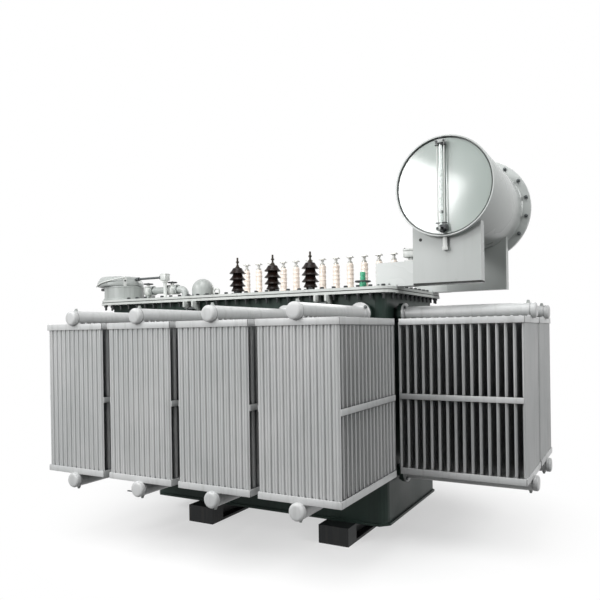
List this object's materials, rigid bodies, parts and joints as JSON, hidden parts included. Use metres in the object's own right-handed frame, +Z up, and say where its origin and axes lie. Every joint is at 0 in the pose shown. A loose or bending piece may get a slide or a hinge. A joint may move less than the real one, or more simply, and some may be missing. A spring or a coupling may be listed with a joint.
{
  "type": "power transformer",
  "caption": "Oil-immersed power transformer with detachable panel radiators on its long sides and one end, a drum conservator on saddles, porcelain bushings and a skid base.",
  "frame": {"origin": "on the floor, under the middle of the transformer's bounding box", "axes": "+X along the tank's long side towards the conservator, +Y from the HV side to the LV side, +Z up"},
  "size_m": [3.6846, 2.952, 2.7548],
  "materials": {
    "skid_paint": "satin black paint",
    "tank_enamel": "semi-gloss enamel",
    "cover_enamel": "semi-gloss enamel",
    "gasket_rubber": "matt",
    "radiator_enamel": "semi-gloss enamel",
    "conservator_enamel": "gloss enamel",
    "fitting_enamel": "semi-gloss enamel",
    "valve_enamel": "semi-gloss enamel",
    "brown_porcelain": "glazed",
    "white_porcelain": "glazed"
  },
  "bodies": {
    "root": {"base_skid_1": "skid_paint", "base_skid_2": "skid_paint", "tank_body": "tank_enamel", "tap_changer_pocket": "tank_enamel", "tank_rim_flange": "cover_enamel", "cover_gasket": "gasket_rubber", "tank_cover": "cover_enamel", "radiator_front_1": "radiator_enamel", "radiator_front_2": "radiator_enamel", "radiator_front_3": "radiator_enamel", "radiator_front_4": "radiator_enamel", "radiator_back_1": "radiator_enamel", "radiator_back_2": "radiator_enamel", "radiator_back_3": "radiator_enamel", "radiator_back_4": "radiator_enamel", "radiator_end_1": "radiator_enamel", "radiator_end_2": "radiator_enamel", "conservator_barrel": "conservator_enamel", "conservator_end_plate": "conservator_enamel", "conservator_far_cover": "conservator_enamel", "conservator_saddle_near": "conservator_enamel", "conservator_saddle_far": "conservator_enamel", "conservator_bracket_near": "conservator_enamel", "conservator_bracket_far": "conservator_enamel", "oil_level_gauge": "fitting_enamel", "conservator_drain": "fitting_enamel", "gas_relay": "fitting_enamel", "tap_changer_head": "fitting_enamel", "tap_changer_hood": "fitting_enamel", "tap_changer_drive": "fitting_enamel", "cover_oil_pipe": "fitting_enamel", "pressure_relief_dome": "fitting_enamel", "cover_lifting_eye": "fitting_enamel", "filter_valve": "valve_enamel", "hv_bushing_1": "brown_porcelain", "hv_bushing_2": "brown_porcelain", "hv_bushing_3": "brown_porcelain", "lv_bushings_1": "white_porcelain", "lv_bushings_2": "white_porcelain", "lv_bushings_3": "white_porcelain", "lv_bushings_4": "white_porcelain", "lifting_lug_front_1": "cover_enamel", "lifting_lug_front_2": "cover_enamel", "lifting_lug_back_1": "cover_enamel", "lifting_lug_back_2": "cover_enamel"}
  },
  "joints": []
}
